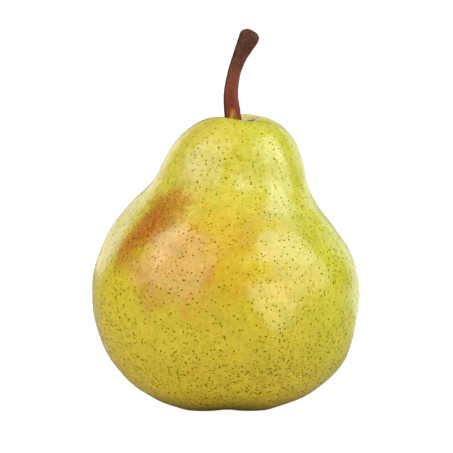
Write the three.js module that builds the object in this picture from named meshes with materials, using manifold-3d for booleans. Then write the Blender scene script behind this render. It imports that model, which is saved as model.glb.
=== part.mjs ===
// A whole ripe pear standing on its calyx end. Millimetres, +Z up.
// The origin is on the surface the pear stands on, under the middle of its belly.
// -Y is the front: the stalk bends over towards +X.
import * as THREE from 'three';
import { mergeVertices } from 'three/addons/utils/BufferGeometryUtils.js';
import Module from 'manifold-3d';

// ---- Driving dimensions ----

const BELLY_RADIUS = 38.6;
const BELLY_HEIGHT = 32.6;
const NECK_RADIUS = 20.0;
const NECK_HEIGHT = 71.0;
const RIM_RADIUS = 6.0;
const RIM_HEIGHT = 83.2;
const CAVITY_FLOOR = 78.6;
const FOOT_RADIUS = 12.6;
const FOOT_SINK = 0.6; // how far the foot would reach below the surface if it weren't pressed flat
const BASIN_DEPTH = 5.4;

// How far the neck leans to +X, and the heights between which it does so.
const NECK_LEAN = 3.7;
const LEAN_START = 52;
const LEAN_END = 85;

// Five low lobes round the foot: the first one's direction, how deep the valleys between are, and
// the distances from the middle where they begin, are full, start to fade and end.
const LOBE_COUNT = 5;
const LOBE_DIRECTION = THREE.MathUtils.degToRad(-52);
const LOBE_DEPTH = 0.9;
const LOBE_BEGINS = 4;
const LOBE_IS_FULL = 11;
const LOBE_FADES = 14;
const LOBE_ENDS = 30;

// Swells and hollows that make the fruit uneven: a place, how far it spreads, and its push there.
const UNEVENNESS = [
  { at: [-32, 0, 11], spread: 9, push: [1.0, 0, 0] }, // hollow low on the left
  { at: [-26, 0, 4], spread: 7, push: [1.4, 0, 0.5] }, // hollow at the foot's left
  { at: [33, 0, 12], spread: 10, push: [0.9, 0, 0] }, // swell low on the right
  { at: [-30, 0, 55], spread: 9, push: [-1.2, 0, 0.3] }, // left shoulder
  { at: [-24.5, 0, 58.5], spread: 4, push: [-0.5, 0, 0.2] }, // top of the left shoulder
  { at: [29, 0, 57], spread: 9, push: [-0.6, 0, 0] }, // hollow waist on the right
  { at: [20, 0, 77], spread: 5, push: [-0.25, 0, -0.2] }, // slimmer top of the neck, right
  { at: [4, -26, 50], spread: 13, push: [0, -0.8, 0] }, // full front of the waist
  { at: [3.5, -20.5, 70], spread: 10, push: [0, 1.7, 0] }, // flat front of the neck
  { at: [-11, -15, 70], spread: 7, push: [0.4, 0.5, 0] }, // flatter front left of the neck
  { at: [17, -31, 48], spread: 9, push: [0.2, -0.5, 0] }, // full top of the belly, right
  { at: [14, -35.5, 37], spread: 8.5, push: [-0.2, 1.4, 0] }, // flat front of the belly, right
  { at: [12, -34, 18], spread: 9.5, push: [0.3, -1.8, -0.2] }, // full front of the belly, low down
  { at: [-11, -37, 26], spread: 10, push: [0.1, 0.5, 0] }, // flatter front of the belly, left
  { at: [-11, -28.4, 53.8], spread: 7.2, push: [-0.2, -0.55, 0.5] }, // fuller front of the left shoulder
  { at: [14.8, -15, 71.7], spread: 5.5, push: [0.55, -0.8, 0.3] }, // fuller front right of the neck
  { at: [11, -34.7, 43.4], spread: 5.5, push: [0.15, -0.45, 0.1] }, // low swell on the belly's front
  { at: [26, -26.5, 42.4], spread: 9, push: [0.35, -0.35, 0.15] }, // fuller front right of the belly
  { at: [-18.6, -33, 39.2], spread: 5.5, push: [-0.25, -0.45, 0.1] }, // fuller front left of the belly
  { at: [7.4, -20.7, 64.5], spread: 4.4, push: [-0.15, 0.6, -0.4] }, // small hollow at the neck's foot
  { at: [-7.5, -16.2, 71.7], spread: 9, push: [0.25, 0.4, -0.2] }, // flatter front left of the neck, high
  { at: [-6, 25, 58], spread: 12, push: [0, -0.9, 0] }, // hollow behind the waist
  { at: [8, 34, 26], spread: 15, push: [0, -0.6, 0] }, // flatter back of the belly
  { at: [-1.5, -5, 84], spread: 4, push: [0, 0, 0.75] }, // fuller rim, front left
  { at: [6.8, -4.8, 83.5], spread: 2.8, push: [0, 0, -1.0] }, // notch in the rim, front right
  { at: [10.2, -0.5, 83], spread: 3, push: [0, 0, 0.5] }, // fuller rim, right
  { at: [5.5, 5.5, 84], spread: 4, push: [0, 0, 0.9] }, // high rim, back
  { at: [7.6, 2.2, 82.8], spread: 1.4, push: [0, 0, -0.35] }, // crease in the cavity's wall
];

// The stalk's middle line from inside the cavity to its tip, and its radius along its length.
const STEM_PATH = [
  [2.9, 0, 77.8],
  [1.9, 0, 85.2],
  [1.55, 0.2, 90.5],
  [2.5, 0.5, 96.6],
  [4.5, 0.8, 102],
  [7.8, 1.1, 108.6],
];
const STEM_PROFILE = [
  [1.7, 0],
  [2.25, 0.8],
  [2.35, 6],
  [2.1, 12],
  [1.88, 18],
  [1.95, 22],
  [2.3, 25.8],
  [2.72, 28.8],
  [2.85, 30.4],
  [2.6, 31.5],
  [1.7, 32.25],
];
const STEM_LENGTH = 32.6;
const STEM_GAP = 0.3; // clearance between the stalk and the fruit round it

// Dried calyx in the basin underneath: a short tube and five sepals, widest a third of the way along.
const CALYX_INNER_RADIUS = 1.5;
const CALYX_OUTER_RADIUS = 2.5;
const CALYX_TOP = 4.7;
const CALYX_BOTTOM = 2.9;
const CALYX_INNER_BEVEL = 0.3;
const CALYX_OUTER_BEVEL = 0.5;
const SEPAL_COUNT = 5;
const SEPAL_LENGTH = 4.6;
const SEPAL_WIDTH = 2.6;
const SEPAL_ROOT_SHARE = 0.7; // the root's width as a share of the sepal's
const SEPAL_BULGE_AT = 0.35; // where along its length the sepal's edge is pulled outwards
const SEPAL_BULGE = 1.4; // how far apart the two edges are pulled, as a share of the width
const SEPAL_CURL = 0.3; // how far the tip bends back up towards the basin's wall
const SEPAL_THICKNESS = 0.5;
const SEPAL_SLOPE = THREE.MathUtils.degToRad(34);
const SEPAL_ROOT_RADIUS = 2.9;
const SEPAL_ROOT_HEIGHT = 4.0;

// Mesh fineness.
const FRUIT_SIDES = 56;
const FRUIT_STEPS = 2; // rings per stretch of outline
const STEM_SIDES = 14;
const CALYX_SIDES = 20;
const SEPAL_STEPS = 6; // stretches along each edge
const WELD = 1e-4; // points closer than this are one

// ---- Colours and finishes ----

const skin = new THREE.MeshStandardMaterial({ color: 0xd2c05c, roughness: 0.35, metalness: 0 });
const wood = new THREE.MeshStandardMaterial({ color: 0x7a3b27, roughness: 0.6, metalness: 0 });
const driedCalyx = new THREE.MeshStandardMaterial({ color: 0x4b3524, roughness: 0.85, metalness: 0 });

// ---- Fruit ----

// Half the fruit's section as [radius, height], from the basin's middle round to the cavity's middle.
const FRUIT_OUTLINE = [
  [0, BASIN_DEPTH],
  [3.6, BASIN_DEPTH - 0.6],
  [6.6, 2.6],
  [9.2, 0.4],
  [FOOT_RADIUS, -FOOT_SINK],
  [17.6, 0.3],
  [23.4, 3.0],
  [29.2, 7.8],
  [34.3, 14.6],
  [37.3, 22.6],
  [BELLY_RADIUS, BELLY_HEIGHT],
  [37.0, 42.4],
  [32.2, 51.2],
  [26.4, 58.6],
  [22.1, 65.2],
  [NECK_RADIUS, NECK_HEIGHT],
  [17.2, 76.8],
  [13.2, 80.8],
  [9.0, 83.0],
  [RIM_RADIUS, RIM_HEIGHT],
  [4.0, 81.6],
  [2.9, CAVITY_FLOOR + 1],
  [0, CAVITY_FLOOR],
];

const { smoothstep } = THREE.MathUtils;

function fruitGeometry() {
  const corners = FRUIT_OUTLINE.map(([r, z]) => new THREE.Vector3(r, z, 0));
  const outline = new THREE.CatmullRomCurve3(corners, false, 'centripetal');
  const section = outline.getPoints((corners.length - 1) * FRUIT_STEPS);
  const geometry = new THREE.LatheGeometry(section, FRUIT_SIDES);
  geometry.rotateX(Math.PI / 2);
  const place = geometry.attributes.position;
  const point = new THREE.Vector3();
  for (let i = 0; i < place.count; i += 1) {
    point.fromBufferAttribute(place, i);
    growUnevenly(point);
    place.setXYZ(i, point.x, point.y, point.z);
  }
  return geometry;
}

// Moves a point of the round fruit to where the real, uneven one has it.
function growUnevenly(point) {
  const radius = Math.hypot(point.x, point.y);
  const valley = (1 - Math.cos(LOBE_COUNT * (Math.atan2(point.y, point.x) - LOBE_DIRECTION))) / 2;
  const rises = smoothstep(radius, LOBE_BEGINS, LOBE_IS_FULL);
  const fades = smoothstep(radius, LOBE_FADES, LOBE_ENDS);
  const onFoot = point.z < BELLY_HEIGHT ? rises * (1 - fades) : 0;
  const round = new THREE.Vector3(
    point.x + NECK_LEAN * smoothstep(point.z, LEAN_START, LEAN_END),
    point.y,
    point.z + LOBE_DEPTH * valley * onFoot,
  );
  point.copy(round);
  for (const { at, spread, push } of UNEVENNESS) {
    const distance = round.distanceTo(new THREE.Vector3(...at));
    point.addScaledVector(new THREE.Vector3(...push), Math.exp(-((distance / spread) ** 2)));
  }
  point.z = Math.max(point.z, 0);
}

// ---- Stalk ----

// The stalk, or with a margin the socket that holds it: a turned shape bent along the stalk's path.
function stemGeometry(margin) {
  const bends = STEM_PATH.map((p) => new THREE.Vector3(...p));
  const path = new THREE.CatmullRomCurve3(bends, false, 'centripetal');
  const outline = STEM_PROFILE.map(([r, along]) => new THREE.Vector2(r + margin, along));
  outline[0].y -= margin;
  const section = [new THREE.Vector2(0, -margin), ...outline, new THREE.Vector2(0, STEM_LENGTH)];
  const geometry = new THREE.LatheGeometry(section, STEM_SIDES);
  geometry.rotateX(Math.PI / 2);
  const place = geometry.attributes.position;
  for (let i = 0; i < place.count; i += 1) {
    const along = THREE.MathUtils.clamp(place.getZ(i) / STEM_LENGTH, 0, 1);
    const middle = path.getPointAt(along);
    const tangent = path.getTangentAt(along);
    const across = new THREE.Vector3(0, 1, 0).cross(tangent).normalize();
    const away = tangent.clone().cross(across);
    middle.addScaledVector(across, place.getX(i));
    middle.addScaledVector(away, place.getY(i));
    middle.addScaledVector(tangent, place.getZ(i) - along * STEM_LENGTH);
    place.setXYZ(i, middle.x, middle.y, middle.z);
  }
  return geometry;
}

// ---- Calyx ----

function calyxRingGeometry() {
  const middle = (CALYX_INNER_RADIUS + CALYX_OUTER_RADIUS) / 2;
  const section = [
    [CALYX_INNER_RADIUS, CALYX_TOP],
    [CALYX_INNER_RADIUS, CALYX_BOTTOM + CALYX_INNER_BEVEL],
    [middle, CALYX_BOTTOM],
    [CALYX_OUTER_RADIUS, CALYX_BOTTOM + CALYX_OUTER_BEVEL],
    [CALYX_OUTER_RADIUS, CALYX_TOP],
    [CALYX_INNER_RADIUS, CALYX_TOP],
  ];
  const geometry = new THREE.LatheGeometry(section.map((p) => new THREE.Vector2(...p)), CALYX_SIDES);
  geometry.rotateX(Math.PI / 2);
  return geometry;
}

// One sepal lying along +X from its root, its tip curling up.
function sepalGeometry() {
  const root = (SEPAL_WIDTH * SEPAL_ROOT_SHARE) / 2;
  const bulge = (SEPAL_WIDTH * SEPAL_BULGE) / 2;
  const leaf = new THREE.Shape();
  leaf.moveTo(0, -root);
  leaf.quadraticCurveTo(SEPAL_LENGTH * SEPAL_BULGE_AT, -bulge, SEPAL_LENGTH, 0);
  leaf.quadraticCurveTo(SEPAL_LENGTH * SEPAL_BULGE_AT, bulge, 0, root);
  leaf.closePath();
  const geometry = new THREE.ExtrudeGeometry(leaf, {
    depth: SEPAL_THICKNESS,
    bevelEnabled: false,
    curveSegments: SEPAL_STEPS,
  });
  const place = geometry.attributes.position;
  for (let i = 0; i < place.count; i += 1) {
    place.setZ(i, place.getZ(i) + SEPAL_CURL * (place.getX(i) / SEPAL_LENGTH) ** 2);
  }
  return geometry;
}

// ---- Joining and cutting ----

const wasm = await Module();
wasm.setup();

function toSolid(geometry) {
  const bare = geometry.clone();
  bare.deleteAttribute('normal');
  bare.deleteAttribute('uv');
  const closed = mergeVertices(bare, WELD);
  return new wasm.Manifold(new wasm.Mesh({
    numProp: 3,
    vertProperties: new Float32Array(closed.attributes.position.array),
    triVerts: new Uint32Array(closed.index.array),
  }));
}

function toGeometry(solid) {
  const mesh = solid.getMesh();
  const geometry = new THREE.BufferGeometry();
  geometry.setAttribute('position', new THREE.BufferAttribute(mesh.vertProperties, 3));
  geometry.setIndex(new THREE.BufferAttribute(mesh.triVerts, 1));
  geometry.computeVertexNormals();
  return geometry;
}

// ---- Assembly ----

const pear = new THREE.Group();

function addPiece(name, geometry, material) {
  const mesh = new THREE.Mesh(geometry, material);
  mesh.name = name;
  pear.add(mesh);
  return mesh;
}

const socketed = toSolid(fruitGeometry()).subtract(toSolid(stemGeometry(STEM_GAP)));
addPiece('fruit', toGeometry(socketed), skin);
addPiece('stem', stemGeometry(0), wood);
addPiece('calyx_ring', calyxRingGeometry(), driedCalyx);

for (let i = 0; i < SEPAL_COUNT; i += 1) {
  const sepal = addPiece(`sepal_${i + 1}`, sepalGeometry(), driedCalyx);
  const direction = LOBE_DIRECTION + (2 * Math.PI * i) / SEPAL_COUNT;
  sepal.rotation.set(0, SEPAL_SLOPE, direction, 'ZYX');
  sepal.position.set(
    SEPAL_ROOT_RADIUS * Math.cos(direction),
    SEPAL_ROOT_RADIUS * Math.sin(direction),
    SEPAL_ROOT_HEIGHT - SEPAL_THICKNESS,
  );
}

export default pear;
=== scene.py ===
import math

import bpy
import numpy as np
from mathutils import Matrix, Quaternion, Vector


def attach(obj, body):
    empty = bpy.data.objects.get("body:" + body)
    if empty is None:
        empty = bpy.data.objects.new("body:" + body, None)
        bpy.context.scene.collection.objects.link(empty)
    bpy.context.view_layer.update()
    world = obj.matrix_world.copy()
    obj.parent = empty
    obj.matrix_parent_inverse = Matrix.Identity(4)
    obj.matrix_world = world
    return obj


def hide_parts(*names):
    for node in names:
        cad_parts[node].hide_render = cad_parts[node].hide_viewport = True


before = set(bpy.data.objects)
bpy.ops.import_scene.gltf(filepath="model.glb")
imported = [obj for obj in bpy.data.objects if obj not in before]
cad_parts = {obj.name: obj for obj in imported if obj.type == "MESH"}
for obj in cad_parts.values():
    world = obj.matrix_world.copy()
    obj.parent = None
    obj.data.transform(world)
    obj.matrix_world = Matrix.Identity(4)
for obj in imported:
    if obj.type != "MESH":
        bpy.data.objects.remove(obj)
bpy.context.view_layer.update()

# The pear's dimensions are written in millimetres, as in its CAD source, and meshes are made in metres.
MM = 0.001

# ---- Dimensions shared with the CAD source ----

BELLY_RADIUS = 38.6
BELLY_HEIGHT = 32.6
NECK_RADIUS = 20.0
NECK_HEIGHT = 71.0
RIM_RADIUS = 6.0
RIM_HEIGHT = 83.2
CAVITY_FLOOR = 78.6
FOOT_RADIUS = 12.6
FOOT_SINK = 0.6
BASIN_DEPTH = 5.4

NECK_LEAN = 3.7
LEAN_START = 52
LEAN_END = 85

LOBE_COUNT = 5
LOBE_DIRECTION = math.radians(-52)
LOBE_DEPTH = 0.9

# The lobes rise over the first pair of radii, and die away over the second.
LOBES_BEGIN = (4, 11)
LOBES_END = (14, 30)

# Half the fruit's section as (radius, height), from the basin's middle round to the cavity's middle.
FRUIT_OUTLINE = [
    (0, BASIN_DEPTH),
    (3.6, BASIN_DEPTH - 0.6),
    (6.6, 2.6),
    (9.2, 0.4),
    (FOOT_RADIUS, -FOOT_SINK),
    (17.6, 0.3),
    (23.4, 3.0),
    (29.2, 7.8),
    (34.3, 14.6),
    (37.3, 22.6),
    (BELLY_RADIUS, BELLY_HEIGHT),
    (37.0, 42.4),
    (32.2, 51.2),
    (26.4, 58.6),
    (22.1, 65.2),
    (NECK_RADIUS, NECK_HEIGHT),
    (17.2, 76.8),
    (13.2, 80.8),
    (9.0, 83.0),
    (RIM_RADIUS, RIM_HEIGHT),
    (4.0, 81.6),
    (2.9, CAVITY_FLOOR + 1),
    (0, CAVITY_FLOOR),
]

# Swells and hollows: a place, how far each spreads, and its push there. The last seven rows came from
# a search against the photograph, which report.md gives as a broken rule. The others were set one by
# one.
UNEVENNESS = [
    ((-32, 0, 11), 9, (1.0, 0, 0)),
    ((33, 0, 12), 10, (0.9, 0, 0)),
    ((-30, 0, 55), 9, (-1.2, 0, 0.3)),
    ((29, 0, 57), 9, (-0.6, 0, 0)),
    ((4, -26, 50), 13, (0, -0.8, 0)),
    ((-6, 25, 58), 12, (0, -0.9, 0)),
    ((8, 34, 26), 15, (0, -0.6, 0)),
    ((6.8, -4.8, 83.5), 2.8, (0, 0, -1.0)),
    ((-1.5, -5, 84), 4, (0, 0, 0.75)),
    ((5.5, 5.5, 84), 4, (0, 0, 0.9)),
    ((10.2, -0.5, 83), 3, (0, 0, 0.5)),
    ((7.6, 2.2, 82.8), 1.4, (0, 0, -0.35)),
    ((20, 0, 77), 5, (-0.25, 0, -0.2)),
    ((-24.5, 0, 58.5), 4, (-0.5, 0, 0.2)),
    ((-26, 0, 4), 7, (1.4, 0, 0.5)),
    ((3.5, -20.5, 70), 10, (0, 1.7, 0)),
    ((-11, -15, 70), 7, (0.4, 0.5, 0)),
    ((17, -31, 48), 9, (0.2, -0.5, 0)),
    ((14, -35.5, 37), 8.5, (-0.2, 1.4, 0)),
    ((12, -34, 18), 9.5, (0.3, -1.8, -0.2)),
    ((-11, -37, 26), 10, (0.1, 0.5, 0)),
    ((-11, -28.4, 53.8), 7.2, (-0.2, -0.55, 0.5)),
    ((14.8, -15, 71.7), 5.5, (0.55, -0.8, 0.3)),
    ((11, -34.7, 43.4), 5.5, (0.15, -0.45, 0.1)),
    ((26, -26.5, 42.4), 9, (0.35, -0.35, 0.15)),
    ((-18.6, -33, 39.2), 5.5, (-0.25, -0.45, 0.1)),
    ((7.4, -20.7, 64.5), 4.4, (-0.15, 0.6, -0.4)),
    ((-7.5, -16.2, 71.7), 9, (0.25, 0.4, -0.2)),
]

STEM_PATH = [
    (2.9, 0, 77.8),
    (1.9, 0, 85.2),
    (1.55, 0.2, 90.5),
    (2.5, 0.5, 96.6),
    (4.5, 0.8, 102),
    (7.8, 1.1, 108.6),
]
STEM_PROFILE = [
    (1.7, 0),
    (2.25, 0.8),
    (2.35, 6),
    (2.1, 12),
    (1.88, 18),
    (1.95, 22),
    (2.3, 25.8),
    (2.72, 28.8),
    (2.85, 30.4),
    (2.6, 31.5),
    (1.7, 32.25),
]
STEM_LENGTH = 32.6

CALYX_INNER_RADIUS = 1.5
CALYX_OUTER_RADIUS = 2.5
CALYX_TOP = 4.7
CALYX_BOTTOM = 2.9
SEPAL_COUNT = 5
SEPAL_LENGTH = 4.6
SEPAL_WIDTH = 2.6
SEPAL_CURL = 0.3
SEPAL_THICKNESS = 0.5
SEPAL_SLOPE = math.radians(34)
SEPAL_ROOT_RADIUS = 2.9
SEPAL_ROOT_HEIGHT = 4.0

# ---- Fineness of the visible meshes ----

FRUIT_SIDES = 320
FRUIT_RINGS = 290
STEM_SIDES = 72
STEM_RINGS = 230
CALYX_SIDES = 160
CALYX_RINGS = 48
SEPAL_RINGS = 60
SEPAL_SIDES = 36
STAMEN_COUNT = 16
STAMEN_SIDES = 10
STAMEN_RADIUS = 0.11
STAMEN_LUMP = 0.14

# Points along each stretch between the points given for a curve.
FRUIT_OUTLINE_STEPS = 40
STEM_PATH_STEPS = 40
STEM_PROFILE_STEPS = 30
STAMEN_STEPS = 10

# How far apart the fruit's rings are near the axis, compared with on the belly.
FINE_GAP = 0.16
COARSE_GAP = 0.56

# ---- Relief that is finer than the CAD's ----

# The first seed of the random draws. Each piece adds its own number to it.
SEED = 7

# For each: its height, its shortest and longest waves, and how many waves make it up.
SKIN_SWELL = (0.09, 9, 22, 40)
SKIN_RIPPLE = (0.02, 3, 6, 60)
STEM_GRAIN = (0.022, 1.2, 3, 50)
STEM_HEAD_GRAIN = (0.05, 1.5, 3.5, 50)
CALYX_GRAIN = (0.05, 0.5, 1.3, 60)
SEPAL_GRAIN = (0.05, 0.5, 1.4, 60)

# For each set of ridges: their height, how many go round, and where they start in radians.
BASIN_PUCKERS = ((0.1, 13, 1), (0.07, 21, 0))
PUCKER_RADIUS = 5.5
PUCKER_WIDTH = 2.2
CALYX_RIBS = ((0.07, 15, 0), (0.05, 22, 1))
QUARTER_TURN = math.pi / 2
CALYX_TEARS = ((0.16, 5, 0.6 - QUARTER_TURN), (0.1, 11, 2 - QUARTER_TURN), (0.06, 19, -QUARTER_TURN))

# The stalk's ridges wind: the last number is how many times its twist each set turns.
STEM_RIDGES = ((0.07, 3, 1.1, 1), (0.05, 5, 0.4, -1), (0.025, 11, 0, 2))
STEM_RIDGE_STRENGTH = 0.55
STEM_TWIST = 0.5
STEM_TWIST_LENGTH = 7
STEM_HEAD_START = 22
STEM_HEAD_FULL = 29

# ---- Camera ----

IMAGE_SIDE = 453
MM_PER_PIXEL = 0.2884
CAMERA_DISTANCE = 2000
CAMERA_ELEVATION = math.radians(4.5)
AIM = (0.3, 0, 52.0)
SENSOR_WIDTH = 36

# ---- Light ----

# The soft lights face this height, about the pear's middle.
LIT_HEIGHT = 45

# The middle of the bright area behind the pear, as a direction: about 31 degrees above level.
BEHIND = (0, 0.857, 0.515)

# For each soft light: its shape, its azimuth, elevation and roll in degrees, its distance in metres,
# its half width and half height in degrees as the pear sees it, and its radiance.
SOFTBOXES = {
    "left_softbox": ("RECTANGLE", -49, 29, -8, 1.2, 29, 32, 2.2),
    "left_softbox_edge": ("RECTANGLE", -84, 20, 0, 1.1, 11, 13, 1.3),
    "left_softbox_core": ("ELLIPSE", -85, 50, 0, 1.1, 13, 17, 2.2),
    "right_softbox": ("RECTANGLE", 67, 28, -10, 1.2, 39, 32, 2.1),
    "right_softbox_core": ("ELLIPSE", 70, 42, 0, 1.1, 24, 22, 1.8),
}


# ---- Shape tools ----

def smoothstep(value, low, high):
    t = np.clip((value - low) / (high - low), 0, 1)
    return t * t * (3 - 2 * t)


def spline(points, steps):
    """Points along a centripetal Catmull-Rom curve, the same number in each stretch."""
    given = [np.array(p, float) for p in points]
    given = [2 * given[0] - given[1], *given, 2 * given[-1] - given[-2]]
    found = []
    for before, start, end, after in zip(given, given[1:], given[2:], given[3:]):
        gap_in = math.dist(before, start) ** 0.5
        gap = math.dist(start, end) ** 0.5
        gap_out = math.dist(end, after) ** 0.5
        leave = gap * ((start - before) / gap_in - (end - before) / (gap_in + gap) + (end - start) / gap)
        arrive = gap * ((end - start) / gap - (after - start) / (gap + gap_out) + (after - end) / gap_out)
        for t in np.arange(steps) / steps:
            cubic = 2 * (start - end) + leave + arrive
            square = 3 * (end - start) - 2 * leave - arrive
            found.append(start + leave * t + square * t ** 2 + cubic * t ** 3)
    found.append(given[-2])
    return np.array(found)


def along(points):
    """Distance along a line of points, from its start to each of them."""
    return np.concatenate([[0], np.cumsum(np.linalg.norm(np.diff(points, axis=0), axis=1))])


def resample(points, at, where):
    """The line of points read at the distances in where, given each point's distance in at."""
    return np.stack([np.interp(where, at, column) for column in points.T], axis=-1)


def waves(places, kind, seed):
    """A smooth uneven field over places, made of plane waves in all directions."""
    height, shortest, longest, count = kind
    random = np.random.default_rng(seed)
    field = np.zeros(places.shape[:-1])
    for _ in range(count):
        direction = random.normal(size=3)
        direction *= 2 * math.pi / random.uniform(shortest, longest) / np.linalg.norm(direction)
        field += np.sin(places @ direction + random.uniform(0, 2 * math.pi))
    return height * field * (2 / count) ** 0.5


def ridges(angle, sets):
    """Ridges round an axis."""
    return sum(height * np.cos(count * angle + start) for height, count, start in sets)


def full_turn(sides):
    """Angles evenly spaced round a full turn."""
    return np.linspace(0, 2 * math.pi, sides, endpoint=False)


def turned(radius, height, angle):
    """A grid of points round the upright axis."""
    return np.stack([radius * np.cos(angle), radius * np.sin(angle), height + 0 * angle], axis=-1)


def outward(grid):
    """Unit normals of a grid of points whose rows run up a shape and whose columns go all round it."""
    up = np.gradient(grid, axis=0)
    turn = np.roll(grid, -1, axis=1) - np.roll(grid, 1, axis=1)
    normal = np.cross(turn, up)
    return normal / np.maximum(np.linalg.norm(normal, axis=-1, keepdims=True), 1e-9)


def mesh_object(name, points, faces, material):
    """A smooth mesh object from points in millimetres."""
    mesh = bpy.data.meshes.new(name)
    mesh.from_pydata((np.asarray(points) * MM).tolist(), [], faces)
    mesh.polygons.foreach_set("use_smooth", [True] * len(mesh.polygons))
    mesh.update()
    mesh.materials.append(material)
    piece = bpy.data.objects.new(name, mesh)
    bpy.context.scene.collection.objects.link(piece)
    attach(piece, "root")
    return piece


def closed_tube(grid, first, last):
    """Points and faces of a closed body: rings of points with a single point closing each end."""
    rings, sides = grid.shape[:2]
    points = np.concatenate([grid.reshape(-1, 3), [first], [last]])
    faces = []
    for i in range(rings - 1):
        for j in range(sides):
            k = (j + 1) % sides
            faces.append((i * sides + j, i * sides + k, (i + 1) * sides + k, (i + 1) * sides + j))
    start, end = rings * sides, rings * sides + 1
    top = (rings - 1) * sides
    for j in range(sides):
        k = (j + 1) % sides
        faces.append((start, k, j))
        faces.append((end, top + j, top + k))
    return points, faces


def closed_ring(grid):
    """Points and faces of a closed body like a doughnut, whose rows and columns both run round it."""
    rows, columns = grid.shape[:2]
    faces = []
    for i in range(rows):
        m = (i + 1) % rows
        for j in range(columns):
            k = (j + 1) % columns
            faces.append((i * columns + j, i * columns + k, m * columns + k, m * columns + j))
    return grid.reshape(-1, 3), faces


def frames(path, side):
    """Directions along a path, and two square to it and to each other at each of its points."""
    tangent = np.gradient(path, axis=0)
    tangent /= np.linalg.norm(tangent, axis=-1, keepdims=True)
    across = np.cross(side, tangent)
    across /= np.linalg.norm(across, axis=-1, keepdims=True)
    return tangent, across, np.cross(tangent, across)


# ---- Fruit ----

def grow_unevenly(points):
    """Moves points of the round fruit to where the real, uneven one has them."""
    x, y, z = points[..., 0], points[..., 1], points[..., 2]
    radius = np.hypot(x, y)
    valley = (1 - np.cos(LOBE_COUNT * (np.arctan2(y, x) - LOBE_DIRECTION))) / 2
    on_foot = smoothstep(radius, *LOBES_BEGIN) * (1 - smoothstep(radius, *LOBES_END)) * (z < BELLY_HEIGHT)
    round_shape = np.stack([
        x + NECK_LEAN * smoothstep(z, LEAN_START, LEAN_END),
        y,
        z + LOBE_DEPTH * valley * on_foot,
    ], axis=-1)
    grown = round_shape.copy()
    for place, spread, push in UNEVENNESS:
        distance = np.linalg.norm(round_shape - np.array(place), axis=-1)
        grown += np.exp(-((distance / spread) ** 2))[..., None] * np.array(push)
    return grown


def fruit_rings():
    """The outline's points for the rings, closer together in the cavity and the basin."""
    outline = spline(FRUIT_OUTLINE, FRUIT_OUTLINE_STEPS)
    distance = along(outline)
    closeness = 1 / (FINE_GAP + (COARSE_GAP - FINE_GAP) * smoothstep(outline[:, 0], 3, 22))
    count = np.concatenate([[0], np.cumsum((closeness[1:] + closeness[:-1]) / 2 * np.diff(distance))])
    where = np.interp(np.linspace(0, count[-1], FRUIT_RINGS + 2), count, distance)
    return resample(outline, distance, where)


def make_fruit(material):
    rings = fruit_rings()
    angle = full_turn(FRUIT_SIDES)
    radius, height = rings[1:-1, 0][:, None], rings[1:-1, 1][:, None]
    grid = grow_unevenly(turned(radius, height, angle))
    ripple = waves(grid, SKIN_SWELL, SEED) + waves(grid, SKIN_RIPPLE, SEED + 1)
    ripple *= smoothstep(height, 0, 4)
    in_basin = (height < BELLY_HEIGHT) * np.exp(-(((radius - PUCKER_RADIUS) / PUCKER_WIDTH) ** 2))
    ripple += in_basin * ridges(angle, BASIN_PUCKERS)
    grid += outward(grid) * ripple[..., None]
    grid[..., 2] = np.maximum(grid[..., 2], 0)
    first = (0, 0, grid[0, :, 2].mean())
    last = grid[-1].mean(axis=0)
    points, faces = closed_tube(grid, first, last)
    fruit = mesh_object("pear_fruit", points, faces, material)
    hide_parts("fruit")


# ---- Stalk ----

def make_stem(material):
    path = spline(STEM_PATH, STEM_PATH_STEPS)
    path_along = along(path)
    outline = spline([(0, 0), *STEM_PROFILE, (0, STEM_LENGTH)], STEM_PROFILE_STEPS)
    outline_along = along(outline)
    where = np.linspace(0, outline_along[-1], STEM_RINGS + 2)
    rings = resample(outline, outline_along, where)[1:-1]
    angle = full_turn(STEM_SIDES)
    at = np.clip(rings[:, 1] / STEM_LENGTH, 0, 1) * path_along[-1]
    middle = resample(path, path_along, at)
    tangent = resample(frames(path, (0, 1, 0))[0], path_along, at)
    across = np.cross((0, 1, 0), tangent)
    across /= np.linalg.norm(across, axis=-1, keepdims=True)
    away = np.cross(tangent, across)
    twist = STEM_TWIST * np.sin(rings[:, 1] / STEM_TWIST_LENGTH)[:, None]
    ridge = sum(height * np.cos(count * angle + start + turns * twist)
                for height, count, start, turns in STEM_RIDGES)
    radius = rings[:, 0][:, None] * (1 + STEM_RIDGE_STRENGTH * ridge)
    angle = angle[None, :, None]
    round_it = np.cos(angle) * across[:, None] + np.sin(angle) * away[:, None]
    grid = middle[:, None] + radius[..., None] * round_it
    on_head = smoothstep(rings[:, 1], STEM_HEAD_START, STEM_HEAD_FULL)[:, None]
    rough = waves(grid, STEM_GRAIN, SEED + 2) + on_head * waves(grid, STEM_HEAD_GRAIN, SEED + 3)
    rough *= smoothstep(rings[:, 0], 0.2, 1.4)[:, None]
    grid += outward(grid) * rough[..., None]
    points, faces = closed_tube(grid, grid[0].mean(axis=0), grid[-1].mean(axis=0))
    stem = mesh_object("pear_stem", points, faces, material)
    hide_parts("stem")


# ---- Calyx ----

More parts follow.
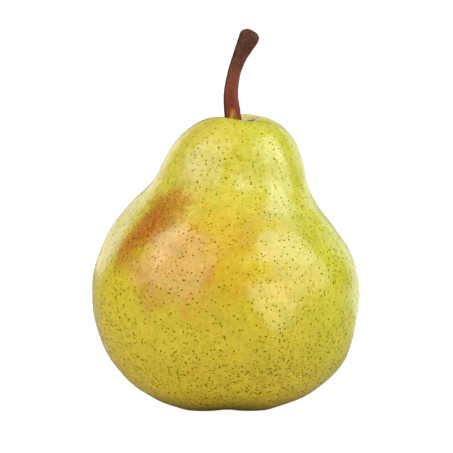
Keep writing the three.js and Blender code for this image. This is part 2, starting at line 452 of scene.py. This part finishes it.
def make_calyx_ring(material):
    """The dried tube, ribbed outside, its lower lip torn and its top grown into the skin above it."""
    turn = full_turn(CALYX_SIDES)
    angle = full_turn(CALYX_RINGS)[:, None] - QUARTER_TURN
    buried = 0.6
    top = CALYX_TOP + buried
    half_width = (CALYX_OUTER_RADIUS - CALYX_INNER_RADIUS) / 2
    half_height = (top - CALYX_BOTTOM) / 2
    squared = 0.6
    outwards = np.sign(np.cos(angle)) * np.abs(np.cos(angle)) ** squared
    upwards = np.sign(np.sin(angle)) * np.abs(np.sin(angle)) ** squared
    radius = CALYX_INNER_RADIUS + half_width * (1 + outwards) + ridges(turn, CALYX_RIBS)
    height = CALYX_BOTTOM + half_height * (1 + upwards)
    lip = 1 - smoothstep(height, CALYX_BOTTOM, CALYX_BOTTOM + 1)
    grid = turned(radius, height + lip * ridges(turn, CALYX_TEARS), turn)
    grid += outward(grid) * waves(grid, CALYX_GRAIN, SEED + 4)[..., None]
    points, faces = closed_ring(grid)
    ring = mesh_object("pear_calyx_ring", points, faces, material)
    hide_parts("calyx_ring")


def make_sepal(index, material):
    """A withered sepal, widest near its root, its edges and tip curled."""
    random = np.random.default_rng(SEED + 10 + index)
    tip_curl, twist, sideways = random.uniform((-0.9, -0.6, -0.5), (SEPAL_CURL, 0.6, 0.5))
    buried = 0.5
    share = np.linspace(0, 1, SEPAL_RINGS)[1:-1, None]
    angle = full_turn(SEPAL_SIDES)
    half_width = SEPAL_WIDTH / 2 * (0.7 + 1.25 * share) * (1 - share ** 1.6) ** 0.8
    half_thickness = SEPAL_THICKNESS / 2 * (1 - 0.65 * share) * (1 - share ** 8)
    across = half_width * np.cos(angle)
    up = half_thickness * np.sin(angle) - 0.4 * half_width * np.cos(angle) ** 2 * (0.3 + share)
    twist_cos, twist_sin = np.cos(twist * share ** 1.5), np.sin(twist * share ** 1.5)
    across, up = across * twist_cos - up * twist_sin, across * twist_sin + up * twist_cos
    across = across + sideways * share ** 2
    up = up + tip_curl * share ** 2 + 0.05 * np.sin(14 * share + 3 * across)
    outwards = share * (SEPAL_LENGTH + buried) - buried + 0 * angle
    turn = LOBE_DIRECTION + 2 * math.pi * index / SEPAL_COUNT
    slope_cos, slope_sin = math.cos(SEPAL_SLOPE), math.sin(SEPAL_SLOPE)
    radius = SEPAL_ROOT_RADIUS + outwards * slope_cos + up * slope_sin
    height = SEPAL_ROOT_HEIGHT - SEPAL_THICKNESS / 2 - outwards * slope_sin + up * slope_cos
    grid = np.stack([
        radius * math.cos(turn) - across * math.sin(turn),
        radius * math.sin(turn) + across * math.cos(turn),
        height,
    ], axis=-1)
    grid += outward(grid) * waves(grid, SEPAL_GRAIN, SEED + 20 + index)[..., None]
    points, faces = closed_tube(grid, grid[0].mean(axis=0), grid[-1].mean(axis=0))
    sepal = mesh_object(f"pear_sepal_{index + 1}", points, faces, material)
    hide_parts(f"sepal_{index + 1}")


def make_stamens(material):
    """Dried threads that hang from inside the calyx tube, each with a small lump at its tip."""
    random = np.random.default_rng(SEED + 30)
    angle = full_turn(STAMEN_SIDES)
    points, faces = [], []
    count = 0
    for i in range(STAMEN_COUNT):
        turn = 2 * math.pi * (i + random.uniform(-0.3, 0.3)) / STAMEN_COUNT
        root_radius, tip_radius = random.uniform((0.7, 0.2), (1.15, 1.5))
        tip_height, bend = random.uniform((2.1, -0.8), (3.4, 0.8))
        halfway_radius = (root_radius + tip_radius) / 2 - 0.1
        # Each stop is a radius, an angle from the thread's own direction, and a height.
        stops = (
            (root_radius, 0, 5.3),
            (root_radius, 0, 4.4),
            (halfway_radius, bend / 2, 3.7),
            (tip_radius, bend, tip_height),
        )
        path = [(r * math.cos(turn + a), r * math.sin(turn + a), z) for r, a, z in stops]
        path = spline(path, STAMEN_STEPS)
        along_it, across, away = frames(path, (1, 0, 0))
        share = np.linspace(0, 1, len(path))
        lump = STAMEN_LUMP * np.exp(-((share - 0.93) / 0.06) ** 2)
        width = STAMEN_RADIUS * (1 - 0.35 * share) + lump
        ring = np.cos(angle)[:, None] * across[:, None] + np.sin(angle)[:, None] * away[:, None]
        grid = path[:, None] + width[:, None, None] * ring
        end = path[-1] + 0.08 * along_it[-1]
        thread, sides = closed_tube(grid, path[0], end)
        points.append(thread)
        faces += [tuple(count + corner for corner in face) for face in sides]
        count += len(thread)
    mesh_object("pear_stamens", np.concatenate(points), faces, material)


# ---- Materials ----

def colour(red, green, blue):
    """A colour given as 0 to 255 on screen, in the linear values that shaders use."""
    def linear(value):
        value /= 255
        return value / 12.92 if value <= 0.04045 else ((value + 0.055) / 1.055) ** 2.4
    return (linear(red), linear(green), linear(blue), 1)


class Nodes:
    """A node tree, written in short calls. A value is a number, a tuple or another node's output."""

    def __init__(self, tree):
        self.tree = tree

    def node(self, kind, **settings):
        made = self.tree.nodes.new(kind)
        for key, value in settings.items():
            setattr(made, key, value)
        return made

    def plug(self, socket, value):
        if isinstance(value, bpy.types.NodeSocket):
            self.tree.links.new(value, socket)
        else:
            socket.default_value = value

    def maths(self, operation, first, second=0.0):
        made = self.node("ShaderNodeMath", operation=operation)
        self.plug(made.inputs[0], first)
        self.plug(made.inputs[1], second)
        return made.outputs[0]

    def plus(self, first, second):
        return self.maths("ADD", first, second)

    def minus(self, first, second):
        return self.maths("SUBTRACT", first, second)

    def times(self, first, second):
        return self.maths("MULTIPLY", first, second)

    def larger(self, first, second):
        return self.maths("MAXIMUM", first, second)

    def vector(self, operation, first, second=None, scale=None):
        """The outputs of a vector calculation: 0 is a vector, and "Value" is a number."""
        made = self.node("ShaderNodeVectorMath", operation=operation)
        self.plug(made.inputs[0], first)
        if second is not None:
            self.plug(made.inputs[1], second)
        if scale is not None:
            self.plug(made.inputs["Scale"], scale)
        return made.outputs

    def split(self, vector):
        """The X, Y and Z of a vector."""
        parts = self.node("ShaderNodeSeparateXYZ")
        self.plug(parts.inputs[0], vector)
        return parts.outputs

    def between(self, value, low, high, out_low=0.0, out_high=1.0):
        """A smooth step from out_low to out_high as value goes from low to high."""
        made = self.node("ShaderNodeMapRange", interpolation_type="SMOOTHSTEP")
        for socket, number in zip(made.inputs, (value, low, high, out_low, out_high)):
            self.plug(socket, number)
        return made.outputs[0]

    def mix(self, amount, first, second, blend="MIX"):
        made = self.node("ShaderNodeMix", data_type="RGBA", blend_type=blend)
        self.plug(made.inputs[0], amount)
        self.plug(made.inputs[6], first)
        self.plug(made.inputs[7], second)
        return made.outputs[2]


class Recipe(Nodes):
    """A material's nodes. Places are in millimetres in the pear's own frame."""

    def __init__(self, name):
        self.material = bpy.data.materials.new(name)
        self.material.use_nodes = True
        super().__init__(self.material.node_tree)
        self.shader = self.tree.nodes["Principled BSDF"]
        texture_place = self.node("ShaderNodeTexCoord").outputs["Object"]
        self.place = self.vector("SCALE", texture_place, scale=1 / MM)[0]
        self.x, self.y, self.z = self.split(self.place)

    def noise(self, size, detail=2.0, roughness=0.5, distortion=0.0, shift=0.0, place=None):
        """Noise from 0 to 1 whose lumps are about size millimetres across."""
        place = place or self.place
        if shift:
            place = self.vector("ADD", place, (shift, shift, shift))[0]
        made = self.node("ShaderNodeTexNoise")
        self.plug(made.inputs["Vector"], place)
        self.plug(made.inputs["Scale"], 1 / size)
        self.plug(made.inputs["Detail"], detail)
        self.plug(made.inputs["Roughness"], roughness)
        self.plug(made.inputs["Distortion"], distortion)
        return made.outputs[0]

    def dots(self, spacing, radius, softness, shift=0.0, share=None):
        """Round dots scattered through space: how much each place is inside one, and how near one it is.
        There is one dot to every spacing cubed, or only the given share of them."""
        cells = self.node("ShaderNodeTexVoronoi")
        self.plug(cells.inputs["Vector"], self.vector("ADD", self.place, (shift, shift, shift))[0])
        self.plug(cells.inputs["Scale"], 1 / spacing)
        distance = self.times(cells.outputs["Distance"], spacing)
        chance = self.node("ShaderNodeSeparateColor")
        self.plug(chance.inputs[0], cells.outputs["Color"])
        reach = self.times(self.between(chance.outputs[0], 0, 1, 0.75, 1.2), radius)
        inside = self.between(self.minus(distance, reach), -softness, softness, 1.0, 0.0)
        near = self.between(self.maths("DIVIDE", distance, radius), 1.0, 2.6, 1.0, 0.0)
        if share is not None:
            chosen = self.maths("LESS_THAN", chance.outputs[1], share)
            inside = self.times(inside, chosen)
            near = self.times(near, chosen)
        return inside, near

    def drawn_out(self, direction, length):
        """The place with distances along a direction shrunk, which makes a texture length times as long."""
        direction = Vector(direction).normalized()
        along_it = self.vector("DOT_PRODUCT", self.place, direction)["Value"]
        step = self.vector("SCALE", direction * (1 / length - 1), scale=along_it)[0]
        return self.vector("ADD", self.place, step)[0]

    def stroke(self, start, end, width, ragged):
        """1 along a line from start to end, falling to 0 at about width from it, with a ragged edge."""
        span = Vector(end) - Vector(start)
        offset = self.vector("SUBTRACT", self.place, start)[0]
        forward = self.vector("DOT_PRODUCT", offset, span / span.length_squared)["Value"]
        share = self.maths("MINIMUM", self.larger(forward, 0), 1)
        nearest = self.vector("SCALE", span, scale=share)[0]
        apart = self.vector("DISTANCE", offset, nearest)["Value"]
        uneven = self.plus(self.times(apart, 1 / width), ragged)
        return self.between(uneven, 0.3, 1.2, 1.0, 0.0)

    def patch(self, centre, reach, ragged):
        """1 at a centre, falling to 0 at about reach (x, y, z) millimetres from it, with a ragged edge."""
        share = self.vector("DIVIDE", self.vector("SUBTRACT", self.place, centre)[0], reach)[0]
        length = self.vector("LENGTH", share)["Value"]
        return self.between(self.plus(length, ragged), 0.35, 1.25, 1.0, 0.0)

    def bump(self, height, depth, strength=1.0, under=None):
        """Bump whose height of 1 is depth millimetres."""
        made = self.node("ShaderNodeBump")
        made.inputs["Distance"].default_value = depth * MM
        made.inputs["Strength"].default_value = strength
        self.plug(made.inputs["Height"], height)
        if under is not None:
            self.plug(made.inputs["Normal"], under)
        return made.outputs["Normal"]


WHITE = (1, 1, 1, 1)
YELLOW = colour(184, 165, 21)
LIME = colour(166, 168, 18)
PALE_LIME = colour(184, 184, 96)
NECK_YELLOW = colour(179, 168, 55)
GOLD = colour(178, 132, 19)
LOW_OCHRE = colour(198, 172, 38)
TAN = colour(172, 108, 18)
OLIVE = colour(160, 108, 16)
BLUSH = colour(155, 86, 13)
BUFF = colour(199, 176, 74)
ORANGE = colour(198, 118, 26)
FOOT_BROWN = colour(120, 84, 34)
RUSSET = colour(135, 100, 46)
# Russet in the stalk's cavity, and painted shadow in the crease beside the stalk.
CAVITY_RUSSET_AND_CREASE_SHADOW = colour(112, 76, 28)
KHAKI = colour(198, 192, 120)
LENTICEL_TINT = (0.21, 0.15, 0.0, 1)
HALO_TINT = (0.84, 0.82, 0.0, 1)
FRECKLE_TINT = (0.62, 0.56, 0.3, 1)
GREENER = (0.86, 0.9, 0.5, 1)
RUDDIER = (0.96, 0.88, 0.6, 1)
DEEPER = (0.88, 0.88, 0.55, 1)
# A painted reflection tone for the left shoulder's edge.
RIM_REFLECTION_TINT = (0.86, 0.9, 1.3, 1)
DULL = (0.05, 0.03, 0.0, 1)
SHADIER = (0.86, 0.88, 1.0, 1)
LIGHTER = (1.2, 1.18, 1.4, 1)
SUNBURN = (0.5, 0.46, 0.3, 1)
SUNLIT = (1.2, 1.28, 1.5, 1)
PALER = (1.14, 1.1, 1.2, 1)


def skin_material():
    r = Recipe("pear_skin")
    broad = r.noise(30, 3, 0.55)
    patchy = r.noise(7, 4, 0.6, shift=40)
    blotchy = r.noise(4.2, 3, 0.5, distortion=1.2, shift=160)
    mottle = r.noise(1.7, 3, 0.6, distortion=0.6, shift=80)
    grain = r.noise(0.5, 2, 0.6, shift=120)
    streaky = r.noise(0.9, 3, 0.6, shift=200, place=r.drawn_out((-9, -1, -8), 5))
    streaky_right = r.noise(0.9, 3, 0.6, shift=200, place=r.drawn_out((9, -1, -9), 6))
    ragged = r.plus(r.times(patchy, 0.9), r.times(mottle, 0.7))
    ragged = r.minus(ragged, 0.8)
    wander = r.times(r.minus(broad, 0.5), 26)

    def over(base, mask, strength, tone):
        return r.mix(r.times(mask, strength), base, tone)

    # Limy on the right, paler on the neck, duller yellow low down and golden on the front of the belly.
    base = over(YELLOW, r.between(r.plus(r.z, wander), 8, 36, 1.0, 0.0), 0.9, LOW_OCHRE)
    base = over(base, r.between(r.plus(r.z, wander), 50, 66), 0.85, NECK_YELLOW)
    rightness = r.plus(r.plus(r.x, wander), r.between(r.z, 34, 52, -8, 0))
    limy = r.times(r.between(rightness, 6, 30), r.between(r.z, 10, 44, 0.5, 1.0))
    base = over(base, limy, 0.95, LIME)
    for centre, reach, strength, tone in (
        ((15, -9, 80), (13, 16, 10), 0.75, LIME),
        ((13, -17, 69), (9, 9, 8), 0.5, PALE_LIME),
        ((20, -20, 57), (6, 8, 6), 0.25, PALE_LIME),
        ((12.5, -9.5, 80.5), (5, 5, 4), 0.2, PALE_LIME),
        ((-7, -33, 45), (17, 20, 18), 0.55, GOLD),
        ((-15, -30, 44), (14, 14, 13), 0.85, GOLD),
        ((14, -33, 38), (10, 10, 9), 0.6, BUFF),
    ):
        base = over(base, r.patch(centre, reach, ragged), strength, tone)

    # Sun blush on the left shoulder, broken into dashes, with small warm marks round it.
    flecks = r.noise(1.3, 4, 0.65, distortion=1.0, shift=240, place=r.drawn_out((-5, -1, -9), 1.4))
    torn = r.plus(r.times(ragged, 1.2), r.times(flecks, 1.6))
    torn = r.minus(torn, 0.8)
    for start, end, width, strength in (
        ((-18, -18.5, 59), (-28.5, -19.5, 47), 5.5, 0.7),
        ((-19, -17.5, 59.5), (-13, -21.5, 60.5), 4.5, 0.6),
        ((-17, -22.5, 57), (-20, -24, 52.5), 6.0, 0.6),
        ((-23, -24, 51), (-28.5, -22.5, 43.5), 4.5, 0.4),
        ((-21, -14.5, 61), (-15, -18.5, 62.5), 3.6, 0.45),
    ):
        base = over(base, r.stroke(start, end, width, torn), strength, OLIVE)
    dashes = r.between(r.plus(mottle, flecks), 0.9, 1.08, 0.25, 1.0)
    for start, end, width, strength in (
        ((-20.5, -19, 55.8), (-17.5, -23.5, 54), 5.4, 0.85),
        ((-21.5, -20, 55), (-25, -20.5, 50.5), 4.6, 0.8),
        ((-25, -20, 51), (-29.5, -19, 46), 2.6, 0.6),
    ):
        red = r.times(r.stroke(start, end, width, torn), dashes)
        base = over(base, red, strength, BLUSH)
    dusty = r.stroke((-13, -20, 61.5), (-28.5, -20, 48), 7.0, torn)
    speckle = r.noise(0.8, 3, 0.7, distortion=1.0, shift=320)
    base = r.mix(r.times(dusty, r.between(speckle, 0.52, 0.62)), base, SUNBURN, "MULTIPLY")
    base = r.mix(r.times(dusty, r.between(speckle, 0.47, 0.36)), base, SUNLIT, "MULTIPLY")
    for start, end, width, strength, tone in (
        ((-14.5, -16, 65.5), (-14, -19.5, 60), 2.6, 0.45, OLIVE),
        ((-28, -20, 48), (-31, -20, 43), 3.0, 0.35, TAN),
        ((-27, -24, 44), (-24, -27, 41), 2.4, 0.3, OLIVE),
        ((-22.5, -31, 38), (-23, -31.5, 33), 4.4, 0.35, TAN),
        ((-11, -37, 35), (-12, -36.5, 29), 1.7, 0.3, ORANGE),
        ((-4.5, -36, 43), (-4.5, -37, 40), 1.8, 0.35, TAN),
        ((6, -36.5, 40.5), (4, -37, 36), 3.0, 0.18, ORANGE),
        ((6.5, -29, 56), (5.5, -33, 50), 3.6, 0.22, TAN),
        ((-9, -17.5, 69), (-9.5, -20, 63), 5.0, 0.12, ORANGE),
    ):
        base = over(base, r.stroke(start, end, width, ragged), strength, tone)

    # Mottling, finer than the patches above, then a painted reflection tone, painted shade in four patches,
    # and lighter towards the bottom.
    for mask, strength, tint in (
        (r.between(blotchy, 0.51, 0.58), 0.75, GREENER),
        (r.between(blotchy, 0.43, 0.36), 0.75, RUDDIER),
        (r.between(mottle, 0.52, 0.62), 0.75, DEEPER),
        # Painted reflection: the left shoulder's edge tinted greyer and bluer, where the bright room
        # mirrors.
        (r.patch((-31, -9, 53), (8, 11, 14), ragged), 1.0, RIM_REFLECTION_TINT),
        # Painted shade: four patches darkened.
        (r.patch((16, -27, 52.5), (13, 13, 14), ragged), 1.0, SHADIER),
        (r.patch((-9, -17, 68), (9, 10, 9), ragged), 0.7, SHADIER),
        (r.patch((18, -30, 22), (15, 13, 12), ragged), 0.6, SHADIER),
        (r.patch((34, -17, 33), (8, 9, 9), ragged), 0.6, SHADIER),
        (r.between(r.z, 15, 5), 1.0, LIGHTER),
    ):
        base = r.mix(r.times(mask, strength), base, tint, "MULTIPLY")
    base = r.mix(r.between(mottle, 0.5, 0.32, 0.0, 0.6), base, PALER, "MULTIPLY")

    # Lenticels, which crowd together and are smaller low down, and faint freckles between them.
    more_low = r.plus(r.between(r.z, 6, 28, 1.0, 0.12), r.between(r.x, -34, -22, 0.3, 0.0))
    on_blush = r.patch((-19, -20, 57), (9, 9, 8), 0.0)
    more_low = r.plus(more_low, r.times(on_blush, 0.5))
    at_sides = r.between(r.maths("ABSOLUTE", r.x), 22, 31, 0.0, 0.05)
    broader = r.plus(r.between(r.z, 34, 18, 0.19, 0.21), at_sides)
    broader = r.plus(broader, r.between(r.z, 16, 7, 0.0, 0.03))
    veiled = r.patch((-34, -9, 48), (8, 13, 17), 0.0)
    more_low = r.times(more_low, r.minus(1.0, veiled))
    most = r.minus(r.between(r.z, 60, 72, 1.0, 0.8), r.times(veiled, 0.65))
    large, near_large = r.dots(1.3, broader, 0.035, share=most)
    small, near_small = r.dots(0.96, r.between(r.z, 34, 18, 0.18, 0.2), 0.035, shift=17, share=more_low)
    tiny, near_tiny = r.dots(0.8, 0.15, 0.07, shift=31)
    halo = r.larger(r.times(near_large, 0.85), r.times(near_small, 0.75))
    marks = r.larger(large, r.times(small, 0.9))
    base = r.mix(halo, base, HALO_TINT, "MULTIPLY")
    base = r.mix(r.times(tiny, 0.5), base, FRECKLE_TINT, "MULTIPLY")
    base = r.mix(marks, base, LENTICEL_TINT, "MULTIPLY")

    # Russet in the basin and thinly in the cavity.
    in_basin = r.patch((0, 0, 3), (10, 10, 6), ragged)
    in_cavity = r.patch((3.8, 0, 78.6), (6, 6, 3.2), r.times(ragged, 0.3))
    russet = r.larger(in_basin, r.times(in_cavity, 0.9))
    base = over(base, in_basin, 0.8, RUSSET)
    base = over(base, r.patch((9, 3, 83.2), (12, 9, 4.5), ragged), 0.85, KHAKI)
    base = over(base, in_cavity, 0.9, CAVITY_RUSSET_AND_CREASE_SHADOW)
    # Painted shadow: a dark stroke in the crease behind the stalk's right, where the rim hides the cavity.
    crease_shadow = r.stroke((6.6, 2.8, 82.0), (8.4, 1.4, 82.7), 1.0, r.times(ragged, 0.4))
    at_foot = r.between(r.plus(r.z, r.times(patchy, 6)), 8.5, 3)
    base = over(base, at_foot, 0.2, FOOT_BROWN)
    r.plug(r.shader.inputs["Base Color"], over(base, crease_shadow, 0.8, CAVITY_RUSSET_AND_CREASE_SHADOW))

    smooth = r.between(patchy, 0.3, 0.7, 0.19, 0.26)
    smooth = r.plus(smooth, r.times(r.larger(marks, russet), 0.3))
    r.plug(r.shader.inputs["Roughness"], smooth)
    dull = r.larger(r.larger(marks, crease_shadow), r.times(russet, 0.8))
    dull = r.larger(dull, halo)
    rough_band = r.stroke((-12, -19, 63), (-25, -21, 50), 8.5, ragged)
    scuff = r.patch((9.5, -35.7, 42.2), (5.5, 5, 4), ragged)
    for centre, reach, strength in (
        ((16, -25, 54.6), (8, 8, 3), 0.7),
        ((30, -17, 52), (3.6, 8, 8), 0.6),
        ((32.5, -20.5, 32), (8, 8, 9), 0.85),
        ((-35, -16, 31), (8, 9, 9), 0.95),
    ):
        scuff = r.larger(scuff, r.times(r.patch(centre, reach, ragged), strength))
    dull = r.larger(dull, r.times(r.larger(rough_band, scuff), 0.8))
    r.plug(r.shader.inputs["Specular Tint"], r.mix(dull, WHITE, DULL))
    r.shader.inputs["IOR"].default_value = 1.58
    r.shader.inputs["Subsurface Weight"].default_value = 0.1
    r.shader.inputs["Subsurface Radius"].default_value = (1.0, 0.6, 0.2)
    r.shader.inputs["Subsurface Scale"].default_value = 0.0015
    waxy = r.bump(mottle, 0.05, 0.5)
    waxy = r.bump(blotchy, 0.12, 0.6, under=waxy)
    left_shoulder = r.times(streaky, r.patch((-27, -9, 53), (13, 15, 13), ragged))
    right_shoulder = r.times(streaky_right, r.patch((28, -10, 53), (10, 14, 13), ragged))
    waxy = r.bump(r.plus(left_shoulder, right_shoulder), 0.12, 0.8, under=waxy)
    pores = r.bump(grain, 0.012, 0.5, under=waxy)
    r.plug(r.shader.inputs["Normal"], r.bump(marks, -0.04, 0.5, under=pores))
    return r.material


BARK_RED = colour(105, 38, 22)
BARK_BROWN = colour(104, 56, 38)
BARK_DARK = colour(80, 37, 24)
BARK_LIGHT = colour(132, 78, 54)
HEAD_BROWN = colour(69, 39, 27)
# Dark marks on the stalk's head, and painted shade on the stalk's -X side.
HEAD_DARK_MARKS_AND_SIDE_SHADE = colour(40, 22, 15)
HEAD_SPECK = colour(160, 130, 104)
BASE_GREEN = colour(180, 144, 68)
BARK_SHEEN = (0.5, 0.4, 0.34, 1)
BARK_EDGE_SHEEN = (0.02, 0.01, 0.01, 1)


def stem_material():
    r = Recipe("stem_bark")
    streaks = r.noise(0.8, 4, 0.5, place=r.drawn_out((0.12, 0, 1), 9))
    lumps = r.noise(1.6, 4, 0.6)
    upper = r.between(r.plus(r.z, r.times(lumps, 6)), 88, 100)
    base = r.mix(upper, BARK_RED, BARK_BROWN)
    base = r.mix(r.between(streaks, 0.5, 0.34, 0.0, 0.8), base, BARK_DARK)
    base = r.mix(r.between(streaks, 0.58, 0.78, 0.0, 0.6), base, BARK_LIGHT)
    head = r.between(r.plus(r.z, r.times(lumps, 5)), 97, 106)
    base = r.mix(r.times(head, 0.85), base, HEAD_BROWN)
    head_marks = r.times(head, 0.6)
    base = r.mix(r.times(r.between(lumps, 0.5, 0.62), head_marks), base, HEAD_DARK_MARKS_AND_SIDE_SHADE)
    specks = r.dots(1.5, 0.13, 0.05)[0]
    base = r.mix(r.times(specks, head_marks), base, HEAD_SPECK)

    # Painted shade: darker on the side that faces -X. Greenish where it leaves the fruit.
    facing = r.split(r.node("ShaderNodeTexCoord").outputs["Normal"])
    base = r.mix(r.between(facing["X"], -0.45, -0.85, 0.0, 0.8), base, HEAD_DARK_MARKS_AND_SIDE_SHADE)
    ragged = r.times(r.minus(streaks, 0.5), 1.5)
    tongue = r.patch((2.1, -2.2, 82.9), (1.2, 2.2, 3.4), ragged)
    foot = r.times(tongue, r.between(streaks, 0.4, 0.56, 0.35, 0.9))
    base = r.mix(foot, base, BASE_GREEN)
    r.plug(r.shader.inputs["Base Color"], base)
    r.plug(r.shader.inputs["Roughness"], r.between(lumps, 0.3, 0.7, 0.42, 0.62))
    r.shader.inputs["IOR"].default_value = 1.4
    edge = r.between(r.node("ShaderNodeLayerWeight").outputs["Facing"], 0.45, 0.8)
    r.plug(r.shader.inputs["Specular Tint"], r.mix(edge, BARK_SHEEN, BARK_EDGE_SHEEN))
    ribs = r.bump(streaks, 0.1, 0.7)
    r.plug(r.shader.inputs["Normal"], r.bump(lumps, 0.1, 0.6, under=ribs))
    return r.material


CALYX_DARK = colour(44, 30, 21)
CALYX_BROWN = colour(106, 76, 49)
CALYX_STRAW = colour(150, 120, 82)


def calyx_material():
    r = Recipe("dried_calyx")
    lumps = r.noise(0.9, 4, 0.65)
    fibres = r.noise(0.35, 3, 0.6, shift=50, place=r.drawn_out((0, 0, 1), 4))
    base = r.mix(r.between(lumps, 0.3, 0.7), CALYX_DARK, CALYX_BROWN)
    base = r.mix(r.between(fibres, 0.52, 0.7, 0.0, 0.7), base, CALYX_STRAW)
    r.plug(r.shader.inputs["Base Color"], base)
    r.plug(r.shader.inputs["Roughness"], r.between(lumps, 0.3, 0.7, 0.75, 0.92))
    r.plug(r.shader.inputs["Normal"], r.bump(fibres, 0.06, 0.7, under=r.bump(lumps, 0.15, 0.8)))
    return r.material


FLOOR_WARM = colour(140, 140, 139)
FLOOR_GREY = colour(144, 144, 144)
WHITE_TO_CAMERA = 0.94


def floor_material():
    r = Recipe("pale_floor")
    r.plug(r.shader.inputs["Base Color"], r.mix(r.noise(400, 2), FLOOR_WARM, FLOOR_GREY))
    r.shader.inputs["Roughness"].default_value = 0.6
    # It glows, which whitens it, but the skin mirrors that only at the back right.
    away = r.vector("LENGTH", r.place)["Value"]
    glow = r.times(r.between(away, 60, 1400, 0.5, 0.95), r.between(away, 12, 55, 0.1, 1.0))
    back_right = r.times(r.between(r.y, 60, 200, 0.0, 0.85), r.between(r.x, 0, 60))
    rays = r.node("ShaderNodeLightPath").outputs
    for ray, level in (("Is Glossy Ray", back_right), ("Is Camera Ray", WHITE_TO_CAMERA)):
        others = r.times(glow, r.minus(1, rays[ray]))
        glow = r.plus(others, r.times(level, rays[ray]))
    r.shader.inputs["Emission Color"].default_value = WHITE
    r.plug(r.shader.inputs["Emission Strength"], glow)
    r.material.cycles.emission_sampling = "NONE"
    return r.material


# ---- Studio ----

def make_camera():
    data = bpy.data.cameras.new("camera")
    data.sensor_width = SENSOR_WIDTH
    data.lens = SENSOR_WIDTH * CAMERA_DISTANCE / (MM_PER_PIXEL * IMAGE_SIDE)
    camera = bpy.data.objects.new("camera", data)
    aim = Vector(AIM)
    back = Vector((0, -math.cos(CAMERA_ELEVATION), math.sin(CAMERA_ELEVATION)))
    camera.location = (aim + CAMERA_DISTANCE * back) * MM
    camera.rotation_euler = back.to_track_quat("Z", "Y").to_euler()
    bpy.context.scene.collection.objects.link(camera)
    bpy.context.scene.camera = camera


def make_softbox(name, shape, azimuth, elevation, roll, distance, half_width, half_height, radiance):
    """A soft light facing the pear, its half width and height in degrees as the pear sees it.
    Azimuth 0 is the camera's side, and +90 is +X. Roll turns it anticlockwise as the pear sees it."""
    data = bpy.data.lights.new(name, "AREA")
    data.shape = shape
    data.size = 2 * distance * math.tan(math.radians(half_width))
    data.size_y = 2 * distance * math.tan(math.radians(half_height))
    data.energy = radiance * math.pi * data.size * data.size_y
    if shape == "ELLIPSE":
        data.energy *= math.pi / 4
    light = bpy.data.objects.new(name, data)
    azimuth, elevation, roll = math.radians(azimuth), math.radians(elevation), math.radians(roll)
    direction = Vector((
        math.sin(azimuth) * math.cos(elevation),
        -math.cos(azimuth) * math.cos(elevation),
        math.sin(elevation),
    ))
    light.location = Vector((0, 0, LIT_HEIGHT * MM)) + distance * direction
    facing = direction.to_track_quat("Z", "Y") @ Quaternion((0, 0, 1), -roll)
    light.rotation_euler = facing.to_euler()
    bpy.context.scene.collection.objects.link(light)


def make_floor():
    side = 20
    mesh = bpy.data.meshes.new("floor")
    corners = [(-side, -side, 0), (side, -side, 0), (side, side, 0), (-side, side, 0)]
    mesh.from_pydata(corners, [], [(0, 1, 2, 3)])
    mesh.materials.append(floor_material())
    floor = bpy.data.objects.new("floor", mesh)
    bpy.context.scene.collection.objects.link(floor)


def make_world(front, back_left, back_right, ceiling, mirrored_ceiling):
    """A room that the camera sees as white. What lights the pear is dim in front, and brighter behind
    it on both sides and above it. The skin mirrors less of the ceiling than lights it."""
    world = bpy.data.worlds.new("studio")
    world.use_nodes = True
    room = Nodes(world.node_tree)
    background = room.tree.nodes["Background"]
    direction = room.node("ShaderNodeTexCoord").outputs["Generated"]
    x, _, z = room.split(direction)
    rear = room.vector("DOT_PRODUCT", direction, BEHIND)["Value"]
    rays = room.node("ShaderNodeLightPath").outputs

    # Directions have a length of 1, so each limit is the cosine of an angle from an axis.
    left = room.between(x, -0.4, -0.15, back_left, 0)
    right = room.between(x, 0.15, 0.4, 0, back_right)
    behind = room.times(room.plus(left, right), room.between(rear, 0.66, 0.74))
    behind = room.times(behind, room.between(z, 0.36, 0.5, 1, 0))
    overhead = room.between(rays["Is Glossy Ray"], 0, 1, ceiling, mirrored_ceiling)
    overhead = room.times(overhead, room.between(z, 0.72, 0.9))
    lit = room.plus(room.plus(behind, overhead), front)
    room.plug(background.inputs["Strength"], room.larger(lit, rays["Is Camera Ray"]))
    background.inputs["Color"].default_value = WHITE
    bpy.context.scene.world = world


make_camera()
make_floor()
make_world(front=0.27, back_left=1.35, back_right=1.0, ceiling=0.7, mirrored_ceiling=0.3)
for softbox, settings in SOFTBOXES.items():
    make_softbox(softbox, *settings)
bpy.context.scene.view_settings.view_transform = "Standard"

skin = skin_material()
bark = stem_material()
dried = calyx_material()
make_fruit(skin)
make_stem(bark)
make_calyx_ring(dried)
for sepal_index in range(SEPAL_COUNT):
    make_sepal(sepal_index, dried)
make_stamens(dried)
